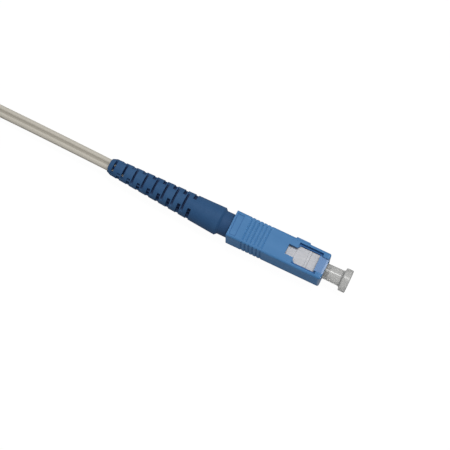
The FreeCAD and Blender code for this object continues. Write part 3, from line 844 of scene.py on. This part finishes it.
# ---- plug frame --------------------------------------------------------------------------------
# The inner frame, moulded in pale glass-filled plastic. Two ribs and a tongue on each narrow side
# show in the sleeve's windows, where the adapter's hooks latch on.

FRAME_EDGE = 0.00010


def frame_material():
    """Pale grey glass-filled plastic: satin, with faint short flecks of glass in the skin."""
    made, tree, shader = new_material("moulded_glass_filled_plastic")
    place = add(tree, "ShaderNodeTexCoord").outputs["Object"]
    # flecks 1.1 mm long and 0.4 mm wide, coarser than the glass so that they show
    flow_space = add(
        tree, "ShaderNodeMapping", {"Vector": place, "Scale": (900, 2600, 2600)}
    ).outputs[0]
    flow = add(
        tree, "ShaderNodeTexNoise", {"Vector": flow_space, "Scale": 1.0, "Detail": 4.0}
    ).outputs[0]
    tone = add(tree, "ShaderNodeValToRGB", {"Fac": flow}, stops=((0.3, "B0B1B5"), (0.7, "BCBCC0")))
    relief = add(tree, "ShaderNodeBump", {"Height": flow, "Strength": 0.25, "Distance": 0.00004})
    tree.links.new(tone.outputs["Color"], shader.inputs["Base Color"])
    tree.links.new(relief.outputs["Normal"], shader.inputs["Normal"])
    shader.inputs["Roughness"].default_value = 0.48
    shader.inputs["IOR"].default_value = 1.5
    return made


inner_frame = softened_copy("inner_frame", "plug_frame", FRAME_EDGE)
inner_frame.data.materials.append(frame_material())
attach(inner_frame, "plug")
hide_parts("plug_frame")


# ---- coupling sleeve ---------------------------------------------------------------------------
# The outer sleeve that the fingers hold: blue thermoplastic polyester, moulded with grip grooves
# and a key. It slides on the frame to work the adapter's hooks through its ramped windows.

SLEEVE_EDGE = 0.00008
NOSE_EDGE = 0.0007
NOSE_POLISH = -0.35
LABEL_BACK, LABEL_FRONT, LABEL_HALF = -0.0261, -0.0243, 0.00295
LABEL_UP = (0.0042, 0.0046)
CORNER = 0.00016

# where light and shade are painted on the moulding: its spans along from the front, across from
# the axis and up from the axis, and the painted tone
SLEEVE_PAINTED_LIGHT = [
    # a painted highlight on the ramp
    ((-0.0025, -0.0001), (0, 0.0021), (0, 0.0043), "688AB6"),
    # painted shade on the hook channel's deep walls
    ((-0.0085, -0.0019), (0.0024, 0.0030), (0, 0.0043), "2C5F97"),
    # painted shade along the label panel's rear, front and side corners
    ((LABEL_BACK, LABEL_BACK + CORNER), (0, LABEL_HALF), LABEL_UP, "33669B"),
    ((LABEL_FRONT - CORNER, LABEL_FRONT), (0, LABEL_HALF), LABEL_UP, "33669B"),
    ((LABEL_BACK, LABEL_FRONT), (LABEL_HALF - CORNER, LABEL_HALF), LABEL_UP, "2C5E92"),
]


def sleeve_material():
    """Moulded blue polyester from a spark-eroded mould: satin, with a fine even grain that
    breaks up the highlights and slow changes of tone along the flow. Its nose is rubbed smooth,
    so that it shines a little; a painted highlight and painted shade lie where the table above says."""
    made, tree, shader = new_material("moulded_blue_polyester")
    place = add(tree, "ShaderNodeTexCoord").outputs["Object"]
    # clouds 8 mm long and 4 mm wide
    cloud_space = add(tree, "ShaderNodeMapping", {"Vector": place, "Scale": (120, 260, 260)}).outputs[0]
    clouds = add(
        tree, "ShaderNodeTexNoise", {"Vector": cloud_space, "Scale": 1.0, "Detail": 3.0}
    ).outputs[0]
    # a grain of 0.17 mm, coarser than the mould's 0.03 mm so that it shows
    grain = add(
        tree, "ShaderNodeTexNoise", {"Vector": place, "Scale": 6000.0, "Detail": 2.0}
    ).outputs[0]
    tone = add(tree, "ShaderNodeValToRGB", {"Fac": clouds}, stops=((0.3, "4074A6"), (0.7, "4A7CAD")))
    relief = add(tree, "ShaderNodeBump", {"Height": grain, "Strength": 0.3, "Distance": 0.00003})
    gloss = add(tree, "ShaderNodeMapRange", {"Value": grain, "To Min": 0.5, "To Max": 0.62})
    tree.links.new(relief.outputs["Normal"], shader.inputs["Normal"])
    spot = add(tree, "ShaderNodeSeparateXYZ", {0: place})
    along = add(tree, "ShaderNodeMath", {0: spot.outputs["X"], 1: -FRONT_X})
    across = add(tree, "ShaderNodeMath", {0: spot.outputs["Y"]}, operation="ABSOLUTE")
    up = add(tree, "ShaderNodeMath", {0: spot.outputs["Z"], 1: -AXIS_Z})
    out_up = add(tree, "ShaderNodeMath", {0: up.outputs[0]}, operation="ABSOLUTE")
    colour = tone.outputs["Color"]
    # each row mixes in a painted highlight or painted shade
    for *spans, shade in SLEEVE_PAINTED_LIGHT:
        share = 1.0
        for measure, (start, end) in zip((along, across, out_up), spans):
            within = add(
                tree,
                "ShaderNodeMath",
                {0: measure.outputs[0], 1: (start + end) / 2, 2: (end - start) / 2},
                operation="COMPARE",
            )
            both = add(tree, "ShaderNodeMath", {0: within.outputs[0], 1: share}, operation="MULTIPLY")
            share = both.outputs[0]
        mixed = add(
            tree,
            "ShaderNodeMix",
            {"Factor": share, 6: colour, 7: linear(shade)},
            data_type="RGBA",
        )
        colour = mixed.outputs[2]
    tree.links.new(colour, shader.inputs["Base Color"])
    worn = add(
        tree,
        "ShaderNodeMapRange",
        {
            "Value": spot.outputs["X"],
            "From Min": FRONT_X - NOSE_EDGE,
            "From Max": FRONT_X - NOSE_EDGE / 2,
        },
    )
    polished = add(
        tree,
        "ShaderNodeMath",
        {0: worn.outputs["Result"], 1: NOSE_POLISH, 2: gloss.outputs["Result"]},
        operation="MULTIPLY_ADD",
    )
    tree.links.new(polished.outputs[0], shader.inputs["Roughness"])
    shader.inputs["IOR"].default_value = 1.5
    shader.inputs["Specular IOR Level"].default_value = 0.2
    return made


sleeve = softened_copy("outer_sleeve", "coupling_sleeve", SLEEVE_EDGE)
sleeve.data.materials.append(sleeve_material())
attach(sleeve, "sleeve")
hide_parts("coupling_sleeve")


# ---- dust cap ----------------------------------------------------------------------------------
# A soft translucent polyethylene cap with a blind bore, pushed on the ferrule by hand and pulled
# off by its rim.

CAP_STEM_R, CAP_FRONT_R, CAP_BORE_R, CAP_RIM_R = 0.00196, 0.00215, 0.0013, 0.0031
CAP_FLARE, CAP_EDGE = 0.0004, 0.0003
CAP_BACK, CAP_BORE_END = -0.0059, 0.0013
CAP_RIM_BACK, CAP_RIM_FRONT = 0.0049, 0.0068


def cap_material():
    """Natural low-density polyethylene: milky and translucent, waxy, with faint flow clouds."""
    made, tree, shader = new_material("moulded_natural_polyethylene")
    place = add(tree, "ShaderNodeTexCoord").outputs["Object"]
    # clouds of 2 mm
    clouds = add(
        tree, "ShaderNodeTexNoise", {"Vector": place, "Scale": 500.0, "Detail": 3.0}
    ).outputs[0]
    tone = add(tree, "ShaderNodeValToRGB", {"Fac": clouds}, stops=((0.3, "BABAB8"), (0.7, "C2C2C0")))
    tree.links.new(tone.outputs["Color"], shader.inputs["Base Color"])
    shader.inputs["Roughness"].default_value = 0.27
    shader.inputs["IOR"].default_value = 1.51
    shader.inputs["Transmission Weight"].default_value = 0.6
    return made


cap = turned(
    "dust_cap_shell",
    rounded_corners(
        [
            (CAP_BORE_END, 0),
            (CAP_BORE_END, CAP_BORE_R),
            (CAP_BACK, CAP_BORE_R),
            (CAP_BACK, CAP_STEM_R),
            (CAP_RIM_BACK - CAP_FLARE, CAP_FRONT_R),
            (CAP_RIM_BACK, CAP_FRONT_R + CAP_FLARE / 2),
            (CAP_RIM_BACK, CAP_RIM_R),
            (CAP_RIM_FRONT, CAP_RIM_R),
            (CAP_RIM_FRONT, 0),
        ],
        CAP_EDGE,
    ),
    96,
)
cap.data.materials.append(cap_material())
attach(cap, "cap")
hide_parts("dust_cap")


# ---- bench, light and camera -----------------------------------------------------------------
# A pale bench under an even sky, with two soft lamps above it, on the key's side of the plug,
# and a faint one that fills in the side away from them.

# each lamp's way back to it, its strength and how wide it looks, in radians
LAMPS = {
    "key_lamp": ((0.25, 0.22, 0.94), 1.2, 0.35),
    "top_lamp": ((-0.10, 0.24, 0.97), 0.7, 0.15),
    "camera_side_lamp": ((0.0, -0.75, 0.66), 0.05, 0.6),
}
BENCH_HALF = 2
SKY_LEVEL = 0.42
GLOSS_SHARE = 0.15
SEEN_SHARE, SEEN_WHITE = 0.88, 1.1
TARGET = Vector((-0.01505, -0.00036, 0.0045))
AZIMUTH, ELEVATION = math.radians(25.95), math.radians(76.01)
DISTANCE = 0.4133


def seen_share(tree, direct, gloss):
    """How far a ray meets the plain white: one share for rays from the camera and through glass,
    another for rays off gloss, and none for the light's own."""
    rays = add(tree, "ShaderNodeLightPath")
    clear = add(
        tree,
        "ShaderNodeMath",
        {0: rays.outputs["Is Camera Ray"], 1: rays.outputs["Is Transmission Ray"]},
        operation="MAXIMUM",
    )
    direct_part = add(tree, "ShaderNodeMath", {0: clear.outputs[0], 1: direct}, operation="MULTIPLY")
    gloss_part = add(
        tree, "ShaderNodeMath", {0: rays.outputs["Is Glossy Ray"], 1: gloss}, operation="MULTIPLY"
    )
    either = add(
        tree,
        "ShaderNodeMath",
        {0: direct_part.outputs[0], 1: gloss_part.outputs[0]},
        operation="MAXIMUM",
    )
    return either.outputs[0]


def bench_material():
    """Pale matt laminate. What is seen of it is mostly even white with a little of the true
    shaded surface, so that the background stays white and the shadow only just shows."""
    made, tree, shader = new_material("pale_laminate")
    place = add(tree, "ShaderNodeTexCoord").outputs["Object"]
    # a tooth of 0.8 mm, coarser than the real one so that it shows
    tooth = add(
        tree, "ShaderNodeTexNoise", {"Vector": place, "Scale": 1200.0, "Detail": 2.0}
    ).outputs[0]
    tone = add(tree, "ShaderNodeValToRGB", {"Fac": tooth}, stops=((0.0, "A4A4A4"), (1.0, "ACACAC")))
    tree.links.new(tone.outputs["Color"], shader.inputs["Base Color"])
    shader.inputs["Roughness"].default_value = 0.9
    white = add(tree, "ShaderNodeEmission", {"Color": linear("FFFFFF"), "Strength": SEEN_WHITE})
    mixed = add(tree, "ShaderNodeMixShader", {0: seen_share(tree, SEEN_SHARE, GLOSS_SHARE)})
    tree.links.new(shader.outputs[0], mixed.inputs[1])
    tree.links.new(white.outputs[0], mixed.inputs[2])
    tree.links.new(mixed.outputs[0], tree.nodes["Material Output"].inputs["Surface"])
    return made


floor_mesh = bpy.data.meshes.new("bench")
ways = ((-1, -1), (1, -1), (1, 1), (-1, 1))
floor_mesh.from_pydata([(BENCH_HALF * x, BENCH_HALF * y, 0) for x, y in ways], [], [(0, 1, 2, 3)])
bench = bpy.data.objects.new("bench", floor_mesh)
bpy.context.scene.collection.objects.link(bench)
bench.data.materials.append(bench_material())

world = bpy.data.worlds.new("studio")
bpy.context.scene.world = world
world.use_nodes = True
sky = world.node_tree
level = add(
    sky,
    "ShaderNodeMapRange",
    {"Value": seen_share(sky, 1.0, 1.0), "To Min": SKY_LEVEL, "To Max": 1.0},
)
sky.links.new(level.outputs["Result"], sky.nodes["Background"].inputs["Strength"])
sky.nodes["Background"].inputs["Color"].default_value = linear("FFFFFF")

for name, (lamp_from, strength, spread) in LAMPS.items():
    lamp_data = bpy.data.lights.new(name, "SUN")
    lamp_data.energy = strength
    lamp_data.angle = spread
    lamp = bpy.data.objects.new(name, lamp_data)
    lamp.rotation_mode = "QUATERNION"
    lamp.rotation_quaternion = Vector(lamp_from).to_track_quat("Z", "Y")
    lamp.visible_transmission = False
    bpy.context.scene.collection.objects.link(lamp)

back = Vector(
    (
        math.sin(AZIMUTH) * math.cos(ELEVATION),
        -math.cos(AZIMUTH) * math.cos(ELEVATION),
        math.sin(ELEVATION),
    )
)
camera_data = bpy.data.cameras.new("camera")
camera_data.lens = 128
camera_data.sensor_width = 36
camera_data.clip_start = 0.01
camera = bpy.data.objects.new("camera", camera_data)
camera.location = TARGET + back * DISTANCE
camera.rotation_mode = "QUATERNION"
camera.rotation_quaternion = back.to_track_quat("Z", "Y")
bpy.context.scene.collection.objects.link(camera)
bpy.context.scene.camera = camera

bpy.context.scene.view_settings.view_transform = "Standard"
